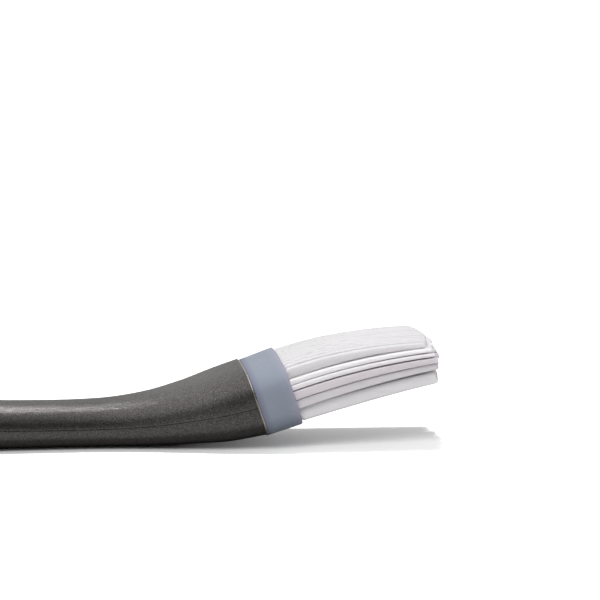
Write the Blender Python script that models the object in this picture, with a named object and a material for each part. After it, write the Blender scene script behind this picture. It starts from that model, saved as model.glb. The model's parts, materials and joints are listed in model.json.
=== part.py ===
"""A silicone pastry brush: a hollow two-shell handle, a translucent collar and six silicone combs.

The handle lies along X with its belly on the plane Z = 0, and the head points to +X, tilted up so that the
bristles stay clear of the worktop. Lengths are in metres.
"""

import math
from collections import namedtuple

import bmesh
import bpy
from mathutils import Matrix, Vector

MM = 0.001

# ---- Driving dimensions ----

MOUTH_X = 95 * MM  # the handle's open end, measured from the origin on the belly
HEAD_TILT = math.radians(18.5)
SHELL_WALL, GRIP_WALL = 1.8 * MM, 3 * MM  # in the wide part by the mouth, and in the grip behind it
GRIP_END = -30 * MM
PARTING_GAP = 0.15 * MM  # each shell stops this far from the parting surface
BELLY_FLAT = 0.02  # share of the half thickness that the belly's flat takes off
CLEARANCE = 0.3 * MM  # between two pieces that meet
RUNNING_GAP = 0.1 * MM  # round a screw or a rivet in its hole
BEYOND = 20 * MM  # how far a cutter runs past what it cuts
PIN_SIDES = 20

COLLAR_LENGTH = 12.2 * MM
HEAD_POWER = 3.4  # squareness of the head's oval section
MOUTH_HALF_WIDTH, MOUTH_HALF_THICKNESS = 20.6 * MM, 11.35 * MM
COLLAR_HALF_WIDTH, COLLAR_HALF_THICKNESS = 20.6 * MM, 11.05 * MM  # at the handle's mouth
RIM_HALF_WIDTH, RIM_HALF_THICKNESS = 21.1 * MM, 11.35 * MM
HEAD_DROP = 0.4 * MM  # the head sits this low in the handle's mouth, which leaves a lip along the top
COLLAR_WALL = 1.25 * MM

TRIM_LENGTH = 0.5 * MM

PACK_HALF_WIDTH, PACK_HALF_THICKNESS = 20 * MM, 9.8 * MM  # the oval that the combs fill together
PACK_POWER = 4.5  # squareness of that oval
EDGE_SHORTENING = 3 * MM  # the fingers at the sides of a comb end this much earlier

# Station of the handle: x from the mouth, height of the belly over the table, tilt of the section,
# half width, half thickness and squareness (the power of the superellipse).
Station = namedtuple("Station", "x lift tilt half_width half_thickness power")
TAIL, HANGING_EYE, PALM, NECK, SHOULDER = -180 * MM, -167 * MM, -118 * MM, -72 * MM, -48 * MM
STATIONS = (
    Station(TAIL, 0, 0, 10.6 * MM, 5.4 * MM, 2.5),
    Station(HANGING_EYE, 0, 0, 11.2 * MM, 5.8 * MM, 2.5),
    Station(PALM, 0, 0, 13.2 * MM, 7.8 * MM, 2.5),
    Station(NECK, 0, 0, 12.0 * MM, 7.1 * MM, 2.5),
    Station(SHOULDER, 0, 0, 12.6 * MM, 7.15 * MM, 2.6),
    Station(-33 * MM, 0.1 * MM, math.radians(4.5), 14.6 * MM, 7.95 * MM, 2.8),
    Station(-20 * MM, 0.7 * MM, math.radians(9), 17.2 * MM, 9.3 * MM, 3.0),
    Station(-10 * MM, 1.45 * MM, math.radians(13), 19.3 * MM, 10.65 * MM, 3.2),
    Station(0, 3.47 * MM, HEAD_TILT, MOUTH_HALF_WIDTH, MOUTH_HALF_THICKNESS, HEAD_POWER),
)
TAIL_ROUNDING, TAIL_SECTIONS = 10 * MM, 6
TAIL_END_SHARE = 0.14  # size of the last section, as a share of the tail's full size
CAVITY_START = -150 * MM  # the tail behind this is solid
HANDLE_STEP = 5 * MM
HALF_SECTION_POINTS, CAVITY_POINTS = 16, 20

EYE_BORE_RADIUS, EYE_BARREL_RADIUS, EYE_FLANGE_RADIUS = 3.6 * MM, 5 * MM, 7 * MM
EYE_RECESS, EYE_FLANGE_THICKNESS = 1.4 * MM, 0.9 * MM
EYE_STEPS = 32

# The core's tang runs back into the handle, and two screws hold it to bosses in the upper shell.
TANG_HALF_WIDTH, TANG_HALF_THICKNESS, TANG_REACH = 13 * MM, 3 * MM, 20 * MM
SCREW_BACK, SCREW_SIDE = 12 * MM, 6.5 * MM
SCREW_RADIUS, SCREW_HEAD_RADIUS, SCREW_HEAD_HEIGHT = 1.2 * MM, 2.5 * MM, 1.8 * MM
SCREW_END = 7.5 * MM
BOSS_RADIUS, BOSS_TOP, PILOT_TOP = 2.9 * MM, 10 * MM, 8 * MM

# Inside the collar: the core's base plate, then the comb roots, clamped by two pins.
CHAMBER_START = 3 * MM
SPIGOT_REACH = 6.5 * MM
SPIGOT_HALF_WIDTH, SPIGOT_HALF_THICKNESS, SPIGOT_WALL = 17.2 * MM, 8.1 * MM, 1.6 * MM
BASE_THICKNESS = 2 * MM
ROOT_REACH, ROOT_SIDE_GAP = 8.25 * MM, 0.5 * MM  # the comb roots together fill this height each way
PIN_RADIUS, PIN_SIDE, PIN_S = 1.2 * MM, 6.5 * MM, 8.6 * MM
PLATE_HALF_WIDTH, PLATE_THICKNESS = 9 * MM, 1 * MM
PLATE_HEIGHT = ROOT_REACH + 2 * RUNNING_GAP  # inner face of each plate of the core

# A comb is a strip with fingers. Height is that of its middle as it leaves the collar, slope is how steeply
# it leaves below the head's axis, and droop is how far below the axis its tips hang. Tip is the thickness at
# the tips as a share of that at the collar, and swell thickens the fingers between. The outer combs have
# bristles, and the four flaps between them have wide tongues with holes that hold liquid.
Comb = namedtuple("Comb", "name height thickness half_width length slope droop tip swell fingers")
BRISTLES, TONGUES = 15, 5
OUTER = {"half_width": 17.8 * MM, "length": 46 * MM, "fingers": BRISTLES}
FLAP = {"slope": 0, "tip": 0.6, "swell": 0, "fingers": TONGUES}
MID_FLAP = {"half_width": 19.2 * MM, "length": 47.6 * MM, **FLAP}
CORE_FLAP = {"half_width": 19.8 * MM, "length": 48 * MM, **FLAP}
THIN, THICK = 1.5 * MM, 2.7 * MM
COMBS = (
    Comb("top_outer_comb", 7.6 * MM, 4.4 * MM, slope=0, droop=7.1 * MM, tip=0.42, swell=0, **OUTER),
    Comb("upper_flap", 4.3 * MM, THIN, droop=6.1 * MM, **MID_FLAP),
    Comb("upper_core_flap", 2.45 * MM, THIN, droop=5.8 * MM, **CORE_FLAP),
    Comb("lower_core_flap", 0, THICK, droop=5 * MM, **CORE_FLAP),
    Comb("lower_flap", -3.05 * MM, THICK, droop=3.9 * MM, **MID_FLAP),
    Comb(
        "bottom_outer_comb", -7.15 * MM, 4.7 * MM, slope=0.045, droop=3.7 * MM, tip=0.95, swell=0.7, **OUTER
    ),
)
FLEX_LINE = COLLAR_LENGTH + 0.4 * MM  # where the combs bend, just ahead of the collar's rim
WEB_LENGTH = 4 * MM  # the fingers of a comb are joined up to here
HINGE_EDGE = 0.6 * MM  # half thickness of a comb at its flex line
SLOT = 0.5 * MM  # between two fingers
BRISTLE_NARROWING, TONGUE_NARROWING = 0.35, 0.06  # share of its width that a finger loses to the tip
FINGER_STEPS = 6
HOLE_RADIUS, HOLE_PLACES = 1.3 * MM, (13 * MM, 20 * MM, 27 * MM)


# ---- Helpers ----


def clear_scene():
    for obj in list(bpy.data.objects):
        bpy.data.objects.remove(obj, do_unlink=True)


def material(name, colour, roughness, metallic=0.0):
    made = bpy.data.materials.new(name)
    made.use_nodes = True
    shader = made.node_tree.nodes["Principled BSDF"]
    shader.inputs["Base Color"].default_value = (*colour, 1.0)
    shader.inputs["Roughness"].default_value = roughness
    shader.inputs["Metallic"].default_value = metallic
    made.diffuse_color = (*colour, 1.0)
    return made


def add_object(name, mesh, mat=None, parent=None, location=(0, 0, 0)):
    obj = bpy.data.objects.new(name, mesh)
    bpy.context.scene.collection.objects.link(obj)
    obj.parent = parent
    obj.location = location
    if mat is None:
        obj.hide_render = True
        obj.display_type = "WIRE"
    else:
        mesh.materials.append(mat)
    return obj


def finish_mesh(name, bm, sharp_angle=40):
    bmesh.ops.remove_doubles(bm, verts=bm.verts, dist=1e-7)
    bmesh.ops.recalc_face_normals(bm, faces=bm.faces)
    mesh = bpy.data.meshes.new(name)
    bm.to_mesh(mesh)
    bm.free()
    mesh.shade_smooth()
    mesh.set_sharp_from_angle(angle=math.radians(sharp_angle))
    return mesh


def loft(name, rings, mat=None, parent=None):
    """A closed solid skinned over rings of the same number of points. Without a material it is a cutter."""
    bm = bmesh.new()
    loops = [[bm.verts.new(point) for point in ring] for ring in rings]
    count = len(loops[0])
    for near, far in zip(loops, loops[1:]):
        for i in range(count):
            j = (i + 1) % count
            bm.faces.new((near[i], near[j], far[j], far[i]))
    bm.faces.new(loops[0])
    bm.faces.new(loops[-1])
    return add_object(name, finish_mesh(name, bm), mat, parent)


def cylinder(name, radius, low, high, centre=(0, 0), segments=24, mat=None, parent=None):
    """An upright cylinder from height low to high, in its parent's frame."""
    ring = [
        (centre[0] + radius * math.cos(turn), centre[1] + radius * math.sin(turn))
        for turn in (2 * math.pi * i / segments for i in range(segments))
    ]
    return loft(name, [[(x, y, z) for x, y in ring] for z in (low, high)], mat, parent)


def box(name, low, high, parent=None):
    """A cutter or joiner with the given corners."""
    corners = [(low[1], low[2]), (high[1], low[2]), (high[1], high[2]), (low[1], high[2])]
    return loft(name, [[(x, y, z) for y, z in corners] for x in (low[0], high[0])], None, parent)


def combine(obj, other, operation):
    modifier = obj.modifiers.new(other.name, "BOOLEAN")
    modifier.object = other
    modifier.operation = operation
    modifier.solver = "EXACT"


def oval(half_width, half_thickness, power, count):
    """Points (y, z) round a superellipse, anticlockwise from +y."""
    points = []
    for i in range(count):
        turn = 2 * math.pi * i / count
        c, s = math.cos(turn), math.sin(turn)
        y = half_width * math.copysign(abs(c) ** (2 / power), c)
        z = half_thickness * math.copysign(abs(s) ** (2 / power), s)
        points.append((y, z))
    return points


def oval_rings(sizes, count=2 * HALF_SECTION_POINTS):
    """Rings of ovals across X from (x, half width, half thickness) triples."""
    return [[(x, y, z) for y, z in oval(w, t, HEAD_POWER, count)] for x, w, t in sizes]


# ---- Handle ----


def smooth_value(field, x):
    """A station value at x, on a cubic through the stations with Catmull-Rom slopes."""
    xs = [station.x for station in STATIONS]
    ys = [getattr(station, field) for station in STATIONS]
    x = min(max(x, xs[0]), xs[-1])
    i = max(k for k in range(len(xs) - 1) if xs[k] <= x)

    def slope(k):
        before, after = max(k - 1, 0), min(k + 1, len(xs) - 1)
        return (ys[after] - ys[before]) / (xs[after] - xs[before])

    span = xs[i + 1] - xs[i]
    t = (x - xs[i]) / span
    return (
        ys[i] * (2 * t**3 - 3 * t**2 + 1)
        + ys[i + 1] * (3 * t**2 - 2 * t**3)
        + span * slope(i) * (t**3 - 2 * t**2 + t)
        + span * slope(i + 1) * (t**3 - t**2)
    )


def station_at(x):
    """The handle's station at any x, with the tail rounded off."""
    end = max(0.0, (TAIL + TAIL_ROUNDING - x) / TAIL_ROUNDING)
    shrink = math.sqrt(max(TAIL_END_SHARE**2, 1 - end**2))
    values = {field: smooth_value(field, x) for field in Station._fields[1:]}
    centre = values["half_thickness"] * (1 - BELLY_FLAT) * math.cos(values["tilt"]) + values["lift"]
    values["half_width"] *= shrink
    values["half_thickness"] *= shrink
    return Station(x, **values), centre


def section_matrix(x, height, tilt):
    return Matrix.Translation((MOUTH_X + x, 0, height)) @ Matrix.Rotation(-tilt, 4, "Y")


def handle_positions():
    """Where the handle's sections stand: closer together over the rounded tail and near the mouth."""
    turns = [math.pi / 2 * i / TAIL_SECTIONS for i in range(TAIL_SECTIONS)]
    tail = [TAIL + TAIL_ROUNDING * (1 - math.cos(turn)) for turn in turns]
    along, x = [], TAIL + TAIL_ROUNDING
    while x < -HANDLE_STEP / 2:
        along.append(x)
        x += HANDLE_STEP
    return tail + along + [0.0]


def half_ring(x, side):
    """The D-shaped section of one shell. Side is 1 for the upper shell and -1 for the lower one."""
    station, centre = station_at(x)
    place = section_matrix(x, centre, station.tilt)
    flat = station.half_thickness * (1 - BELLY_FLAT)
    ring = []
    for i in range(HALF_SECTION_POINTS + 1):
        turn = math.pi * i / HALF_SECTION_POINTS
        c, s = math.cos(turn), math.sin(turn)
        y = station.half_width * math.copysign(abs(c) ** (2 / station.power), c)
        z = max(station.half_thickness * abs(s) ** (2 / station.power), PARTING_GAP)
        if side < 0:
            z = min(z, flat)
        ring.append(place @ Vector((0, y, side * z)))
    return ring


def cavity_rings():
    """The hollow inside both shells, run out past the mouth so that it cuts cleanly."""
    rings, x = [], CAVITY_START
    while x < 0:
        station, centre = station_at(x)
        rings.append((x, centre, station))
        x += 2 * HANDLE_STEP
    station, centre = station_at(0)
    rings.append((0, centre, station))
    rings.append((BEYOND * math.cos(HEAD_TILT), centre + BEYOND * math.sin(HEAD_TILT), station))
    made = []
    for x, centre, station in rings:
        place = section_matrix(x, centre, station.tilt)
        wall = GRIP_WALL if x <= GRIP_END else SHELL_WALL
        size = (station.half_width - wall, station.half_thickness - wall, station.power)
        made.append([place @ Vector((0, y, z)) for y, z in oval(*size, CAVITY_POINTS)])
    return made


def make_shells(paint, head):
    positions = handle_positions()
    upper = loft("handle_upper_shell", [half_ring(x, 1) for x in positions], paint)
    lower = loft("handle_lower_shell", [half_ring(x, -1) for x in positions], paint)
    cavity = loft("handle_cavity", cavity_rings())
    eye_x = MOUTH_X + HANGING_EYE
    crown = crown_at_eye()
    drill = cylinder("eyelet_drill", EYE_BARREL_RADIUS + RUNNING_GAP, -BEYOND, BEYOND, (eye_x, 0))
    recess_radius = EYE_FLANGE_RADIUS + CLEARANCE
    top_recess = cylinder("eyelet_top_recess", recess_radius, crown - EYE_RECESS, BEYOND, (eye_x, 0))
    base_recess = cylinder("eyelet_base_recess", recess_radius, -BEYOND, EYE_RECESS, (eye_x, 0))
    for shell, recess in ((upper, top_recess), (lower, base_recess)):
        for cutter in (cavity, drill, recess):
            combine(shell, cutter, "DIFFERENCE")
    foot = TANG_HALF_THICKNESS + CLEARANCE
    for side, name in ((1, "left"), (-1, "right")):
        place = (-SCREW_BACK, side * SCREW_SIDE)
        boss = cylinder(f"boss_{name}", BOSS_RADIUS, foot, BOSS_TOP, place, parent=head)
        combine(upper, boss, "UNION")
        radius = SCREW_RADIUS + RUNNING_GAP
        pilot = cylinder(f"pilot_{name}", radius, 0, PILOT_TOP, place, PIN_SIDES, parent=head)
        combine(upper, pilot, "DIFFERENCE")


def crown_at_eye():
    """Height of the handle's crown at the hanging eye."""
    station, centre = station_at(HANGING_EYE)
    return centre + station.half_thickness


def make_eyelet(steel):
    """A tubular rivet that lines the hanging hole, turned as one profile round its axis."""
    low = EYE_RECESS - CLEARANCE - EYE_FLANGE_THICKNESS
    high = crown_at_eye() - low
    lip = 0.3 * MM  # chamfer on each edge
    profile = (
        (EYE_BORE_RADIUS + lip, high),
        (EYE_FLANGE_RADIUS - lip, high),
        (EYE_FLANGE_RADIUS, high - lip),
        (EYE_FLANGE_RADIUS, high - EYE_FLANGE_THICKNESS),
        (EYE_BARREL_RADIUS, high - EYE_FLANGE_THICKNESS),
        (EYE_BARREL_RADIUS, low + EYE_FLANGE_THICKNESS),
        (EYE_FLANGE_RADIUS, low + EYE_FLANGE_THICKNESS),
        (EYE_FLANGE_RADIUS, low + lip),
        (EYE_FLANGE_RADIUS - lip, low),
        (EYE_BORE_RADIUS + lip, low),
        (EYE_BORE_RADIUS, low + lip),
        (EYE_BORE_RADIUS, high - lip),
    )
    bm = bmesh.new()
    points = [bm.verts.new((radius, 0, height)) for radius, height in profile]
    edges = [bm.edges.new((a, b)) for a, b in zip(points, points[1:] + points[:1])]
    centre, axis = (0, 0, 0), (0, 0, 1)
    bmesh.ops.spin(bm, geom=points + edges, cent=centre, axis=axis, angle=2 * math.pi, steps=EYE_STEPS)
    mesh = finish_mesh("hanging_eyelet", bm)
    add_object("hanging_eyelet", mesh, steel, location=(MOUTH_X + HANGING_EYE, 0, 0))


# ---- Head: everything in the frame of the tilted head, whose X runs from the mouth to the bristles ----


def make_head_frame():
    head = bpy.data.objects.new("head_frame", None)
    bpy.context.scene.collection.objects.link(head)
    up = Vector((-math.sin(HEAD_TILT), 0, math.cos(HEAD_TILT)))
    head.location = Vector((MOUTH_X, 0, station_at(0)[1])) - up * HEAD_DROP
    head.rotation_euler = (0, -HEAD_TILT, 0)
    return head


def collar_size(s):
    """Half width and half thickness of the head's outside at s, measured ahead from the mouth."""
    share = s / COLLAR_LENGTH
    width = COLLAR_HALF_WIDTH + (RIM_HALF_WIDTH - COLLAR_HALF_WIDTH) * share
    thickness = COLLAR_HALF_THICKNESS + (RIM_HALF_THICKNESS - COLLAR_HALF_THICKNESS) * share
    return width, thickness


def make_trim_ring(steel, head):
    ends = (CLEARANCE, CLEARANCE + TRIM_LENGTH)
    ring = loft("mouth_trim_ring", oval_rings([(s, *collar_size(s)) for s in ends]), steel, head)
    width, thickness = SPIGOT_HALF_WIDTH + CLEARANCE, SPIGOT_HALF_THICKNESS + CLEARANCE
    hole = loft("trim_ring_hole", oval_rings([(s, width, thickness) for s in (-BEYOND, BEYOND)]), None, head)
    combine(ring, hole, "DIFFERENCE")


def make_collar(plastic, head):
    start = 2 * CLEARANCE + TRIM_LENGTH
    edge = 0.35 * MM  # rounding of the rim
    rim_width, rim_thickness = collar_size(COLLAR_LENGTH)
    sizes = [
        (start, *collar_size(start)),
        (COLLAR_LENGTH - edge, *collar_size(COLLAR_LENGTH - edge)),
        (COLLAR_LENGTH, rim_width - edge, rim_thickness - edge),
    ]
    collar = loft("collar", oval_rings(sizes), plastic, head)
    spigot_sizes = [(s, SPIGOT_HALF_WIDTH, SPIGOT_HALF_THICKNESS) for s in (-SPIGOT_REACH, start + MM)]
    spigot = loft("collar_spigot", oval_rings(spigot_sizes), None, head)
    width, thickness = rim_width - COLLAR_WALL, rim_thickness - COLLAR_WALL
    chamber_sizes = [(s, width, thickness) for s in (CHAMBER_START, BEYOND)]
    chamber = loft("collar_chamber", oval_rings(chamber_sizes), None, head)
    width, thickness = SPIGOT_HALF_WIDTH - SPIGOT_WALL, SPIGOT_HALF_THICKNESS - SPIGOT_WALL
    passage_sizes = [(s, width, thickness) for s in (-BEYOND, CHAMBER_START + MM)]
    passage = loft("collar_passage", oval_rings(passage_sizes), None, head)
    combine(collar, spigot, "UNION")
    combine(collar, chamber, "DIFFERENCE")
    combine(collar, passage, "DIFFERENCE")


def make_core(plastic, head):
    """The yoke that carries the combs: base plate, tang, and an upper and a lower plate for the pins."""
    start = CHAMBER_START + CLEARANCE
    end = start + BASE_THICKNESS
    width = RIM_HALF_WIDTH - COLLAR_WALL - CLEARANCE
    thickness = RIM_HALF_THICKNESS - COLLAR_WALL - CLEARANCE
    core = loft("head_core", oval_rings([(s, width, thickness) for s in (start, end)]), plastic, head)
    tang = box(
        "core_tang",
        (-TANG_REACH, -TANG_HALF_WIDTH, -TANG_HALF_THICKNESS),
        (start + MM, TANG_HALF_WIDTH, TANG_HALF_THICKNESS),
        head,
    )
    combine(core, tang, "UNION")
    for side, name in ((1, "upper"), (-1, "lower")):
        faces = sorted((side * PLATE_HEIGHT, side * (PLATE_HEIGHT + PLATE_THICKNESS)))
        low = (end - MM, -PLATE_HALF_WIDTH, faces[0])
        high = (COLLAR_LENGTH - MM, PLATE_HALF_WIDTH, faces[1])
        combine(core, box(f"core_{name}_plate", low, high, head), "UNION")
    for side, name in ((1, "left"), (-1, "right")):
        place, radius = (-SCREW_BACK, side * SCREW_SIDE), SCREW_RADIUS + CLEARANCE
        hole = cylinder(f"tang_hole_{name}", radius, -BEYOND, BEYOND, place, PIN_SIDES, parent=head)
        combine(core, hole, "DIFFERENCE")
        combine(core, bpy.data.objects[f"pin_hole_{name}"], "DIFFERENCE")


def make_pin_holes(head):
    """Cutters shared by the core and by every comb root."""
    for side, name in ((1, "left"), (-1, "right")):
        place, radius = (PIN_S, side * PIN_SIDE), PIN_RADIUS + 2 * RUNNING_GAP
        cylinder(f"pin_hole_{name}", radius, -BEYOND, BEYOND, place, PIN_SIDES, parent=head)


def make_fasteners(steel, head):
    reach = PLATE_HEIGHT + PLATE_THICKNESS
    for side, name in ((1, "left"), (-1, "right")):
        place = (PIN_S, side * PIN_SIDE)
        cylinder(f"clamp_pin_{name}", PIN_RADIUS, -reach, reach, place, PIN_SIDES, steel, head)
        make_screw(f"tang_screw_{name}", side * SCREW_SIDE, steel, head)


def make_screw(name, side, steel, head):
    """A pan-head self-tapping screw, drawn without its thread, driven up from under the tang."""
    under = -TANG_HALF_THICKNESS - RUNNING_GAP
    rounding = 0.5 * MM
    profile = (
        (SCREW_HEAD_RADIUS - rounding, under - SCREW_HEAD_HEIGHT),
        (SCREW_HEAD_RADIUS, under - SCREW_HEAD_HEIGHT + rounding),
        (SCREW_HEAD_RADIUS, under),
        (SCREW_RADIUS, under),
        (SCREW_RADIUS, SCREW_END - SCREW_RADIUS),
        (SCREW_RADIUS / 4, SCREW_END),
    )
    turns = [2 * math.pi * i / PIN_SIDES for i in range(PIN_SIDES)]
    rings = []
    for radius, height in profile:
        ring = [(radius * math.cos(turn), radius * math.sin(turn)) for turn in turns]
        rings.append([(x - SCREW_BACK, y + side, height) for x, y in ring])
    loft(name, rings, steel, head)


# ---- Silicone combs ----


def make_comb_root(comb, silicone, head):
    """The strip of a comb that the collar holds, with the two pin holes."""
    start = CHAMBER_START + BASE_THICKNESS + 2 * CLEARANCE
    end = COLLAR_LENGTH - CLEARANCE
    low = max(comb.height - comb.thickness / 2, -ROOT_REACH)
    high = min(comb.height + comb.thickness / 2, ROOT_REACH)
    chamber_width = RIM_HALF_WIDTH - COLLAR_WALL
    chamber_thickness = RIM_HALF_THICKNESS - COLLAR_WALL
    farther = max(-low, high) / chamber_thickness
    room = chamber_width * (1 - farther**HEAD_POWER) ** (1 / HEAD_POWER)
    width = room - ROOT_SIDE_GAP
    corners = [(-width, low), (width, low), (width, high), (-width, high)]
    rings = [[(x, y, z) for y, z in corners] for x in (start, end)]
    root = loft(comb.name + "_root", rings, silicone, head)
    for name in ("left", "right"):
        combine(root, bpy.data.objects[f"pin_hole_{name}"], "DIFFERENCE")


def is_outer(comb):
    return comb.fingers == BRISTLES


def faces_at(comb, s, y):
    """Heights of a comb's two faces over its flex line, s ahead of it and y to the side. A comb is thin at
    the flex line and thins again to its tips. An outer comb's outside follows the oval of the pack."""
    half = comb.thickness / 2
    low, high = -half, half
    if is_outer(comb):
        crown = (1 - abs(y / PACK_HALF_WIDTH) ** PACK_POWER) ** (1 / PACK_POWER) * PACK_HALF_THICKNESS
        high = min(half, crown - abs(comb.height))
        if comb.height < 0:
            low, high = -high, -low
    share = s / comb.length
    taper = 1 - (1 - comb.tip) * share**1.5 + comb.swell * share * (1 - share)
    start = min(1, s / half)
    middle = -comb.slope * s - (comb.droop - comb.slope * comb.length) * share**2
    low = middle - HINGE_EDGE + (low * taper + HINGE_EDGE) * start
    high = middle + HINGE_EDGE + (high * taper - HINGE_EDGE) * start
    return low, high


def make_bristles(comb, silicone, head):
    """The part of a comb that bends: a web and its fingers, with the object's origin on the flex line."""
    pitch = (2 * comb.half_width + SLOT) / comb.fingers
    narrowing = BRISTLE_NARROWING if is_outer(comb) else TONGUE_NARROWING
    fingers = []
    for i in range(comb.fingers):
        left = -comb.half_width + i * pitch
        fingers.append((left, left + pitch - SLOT))
    bm = bmesh.new()

    def pair(s, y, outline_y):
        """The vertices on both faces at s and y, with the thickness that the comb has at outline_y."""
        low, high = faces_at(comb, s, outline_y)
        return bm.verts.new((s, y, high)), bm.verts.new((s, y, low))

    columns = [y for finger in fingers for y in finger]
    rows = [[pair(s, y, y) for y in columns] for s in (0, comb.thickness / 2, WEB_LENGTH)]
    for near, far in zip(rows, rows[1:]):
        for (a, b), (c, d) in zip(zip(near, near[1:]), zip(far, far[1:])):
            bm.faces.new((a[0], b[0], d[0], c[0]))
            bm.faces.new((a[1], c[1], d[1], b[1]))
        for k in (0, -1):
            bm.faces.new((near[k][0], far[k][0], far[k][1], near[k][1]))
    for a, b in zip(rows[0], rows[0][1:]):
        bm.faces.new((a[0], a[1], b[1], b[0]))
    front = rows[-1]
    for a, b in zip(front[1:-1:2], front[2:-1:2]):
        bm.faces.new((a[0], b[0], b[1], a[1]))
    for i, (left, right) in enumerate(fingers):
        centre = (left + right) / 2
        length = comb.length - EDGE_SHORTENING * (centre / PACK_HALF_WIDTH) ** 2
        ring = (*front[2 * i], *reversed(front[2 * i + 1]))
        for step in range(1, FINGER_STEPS + 1):
            share = step / FINGER_STEPS
            s = WEB_LENGTH + (length - WEB_LENGTH) * share
            half = (right - left) / 2 * (1 - narrowing * share**2)
            ahead = (*pair(s, centre - half, left), *reversed(pair(s, centre + half, right)))
            for k in range(4):
                bm.faces.new((ring[k], ring[(k + 1) % 4], ahead[(k + 1) % 4], ahead[k]))
            ring = ahead
        bm.faces.new(ring)
    name = comb.name + "_bristles"
    moving = add_object(name, finish_mesh(name, bm), silicone, head, (FLEX_LINE, 0, comb.height))
    if not is_outer(comb):
        combine(moving, bpy.data.objects["flap_holes"], "DIFFERENCE")


def make_flap_holes(head):
    """Cutters for the holes in the tongues of all four flaps, as one object."""
    pitch = (2 * COMBS[1].half_width + SLOT) / TONGUES
    reach = PACK_HALF_THICKNESS + COMBS[0].droop
    bm = bmesh.new()
    for i in range(TONGUES):
        for ahead in HOLE_PLACES:
            place = Matrix.Translation((FLEX_LINE + ahead, (i - (TONGUES - 1) / 2) * pitch, 0))
            bmesh.ops.create_cone(
                bm, cap_ends=True, segments=12, radius1=HOLE_RADIUS, radius2=HOLE_RADIUS,
                depth=2 * reach, matrix=place,
            )  # fmt: skip
    add_object("flap_holes", finish_mesh("flap_holes", bm), parent=head)


def main():
    clear_scene()
    paint = material("handle_paint", (0.17, 0.16, 0.155), 0.38, 0.85)
    bright_steel = material("bright_steel", (0.62, 0.61, 0.56), 0.25, 1.0)
    collar_plastic = material("collar_plastic", (0.29, 0.34, 0.41), 0.35)
    core_plastic = material("core_plastic", (0.30, 0.31, 0.33), 0.5)
    silicone = material("clear_silicone", (0.80, 0.80, 0.81), 0.3)
    head = make_head_frame()
    make_shells(paint, head)
    make_eyelet(bright_steel)
    make_trim_ring(bright_steel, head)
    make_collar(collar_plastic, head)
    make_pin_holes(head)
    make_flap_holes(head)
    make_core(core_plastic, head)
    make_fasteners(bright_steel, head)
    for comb in COMBS:
        make_comb_root(comb, silicone, head)
        make_bristles(comb, silicone, head)


main()
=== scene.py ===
"""The looks of the pastry brush: smooth shells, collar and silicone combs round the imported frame."""

import json
import math
import random
from collections import namedtuple

import bmesh
import bpy
import numpy as np
from mathutils import Matrix, Vector


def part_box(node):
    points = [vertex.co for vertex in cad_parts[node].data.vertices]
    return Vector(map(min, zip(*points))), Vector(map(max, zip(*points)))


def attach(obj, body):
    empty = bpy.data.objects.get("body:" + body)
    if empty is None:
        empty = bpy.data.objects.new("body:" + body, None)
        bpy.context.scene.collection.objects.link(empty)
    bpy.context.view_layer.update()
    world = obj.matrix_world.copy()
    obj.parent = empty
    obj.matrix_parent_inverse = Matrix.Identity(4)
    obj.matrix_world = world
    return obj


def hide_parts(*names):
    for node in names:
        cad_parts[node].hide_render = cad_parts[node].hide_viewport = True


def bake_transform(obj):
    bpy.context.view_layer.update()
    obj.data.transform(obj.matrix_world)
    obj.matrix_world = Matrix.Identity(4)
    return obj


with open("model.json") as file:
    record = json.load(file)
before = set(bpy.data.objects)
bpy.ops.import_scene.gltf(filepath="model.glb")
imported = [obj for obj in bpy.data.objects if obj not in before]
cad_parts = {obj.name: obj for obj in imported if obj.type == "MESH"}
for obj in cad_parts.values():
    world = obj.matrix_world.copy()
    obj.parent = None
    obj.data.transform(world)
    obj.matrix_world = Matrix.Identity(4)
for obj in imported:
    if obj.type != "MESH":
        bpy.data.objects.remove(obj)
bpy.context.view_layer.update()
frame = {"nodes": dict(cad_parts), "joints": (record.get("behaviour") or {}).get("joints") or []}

MM = 0.001

# ---- Measures taken from the frame ----

PIVOTS = {joint["child"]: Vector(joint["pos_m"]) for joint in frame["joints"]}
HEAD_UP = (PIVOTS["top_comb"] - PIVOTS["bottom_comb"]).normalized()
HEAD_AHEAD = Vector((HEAD_UP.z, 0, -HEAD_UP.x))
FLEX_MIDDLE = (PIVOTS["top_comb"] + PIVOTS["bottom_comb"]) / 2


def head_matrix(origin):
    """The frame of the tilted head: X ahead through the bristles, Y across, Z up out of its flat side."""
    axes = Matrix((HEAD_AHEAD, (0, 1, 0), HEAD_UP)).transposed()
    return Matrix.Translation(origin) @ axes.to_4x4()


def extent(node, matrix):
    """Lowest and highest corners of a CAD node in another frame."""
    inverse = matrix.inverted()
    points = np.array([inverse @ vertex.co for vertex in frame["nodes"][node].data.vertices])
    return Vector(points.min(0)), Vector(points.max(0))


GAP = 0.3 * MM  # between the mouth, the trim ring and the collar
trim_low, trim_high = extent("mouth_trim_ring", head_matrix(FLEX_MIDDLE))
HEAD_DROP = 0.4 * MM  # the head sits this low in the handle's mouth
HEAD_START = FLEX_MIDDLE + HEAD_AHEAD * (trim_low.x - GAP) + HEAD_UP * (trim_low.z + trim_high.z) / 2
MOUTH = HEAD_START + HEAD_UP * HEAD_DROP
HEAD = head_matrix(HEAD_START)
HEAD_TILT = math.asin(HEAD_AHEAD.z)
FLEX_S = (HEAD.inverted() @ FLEX_MIDDLE).x
collar_low, collar_high = extent("collar", HEAD)
RIM_S = collar_high.x
trim_low, trim_high = extent("mouth_trim_ring", HEAD)
HEAD_POWER = 3.4  # squareness of the head's oval section


# ---- Mesh helpers ----


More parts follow.
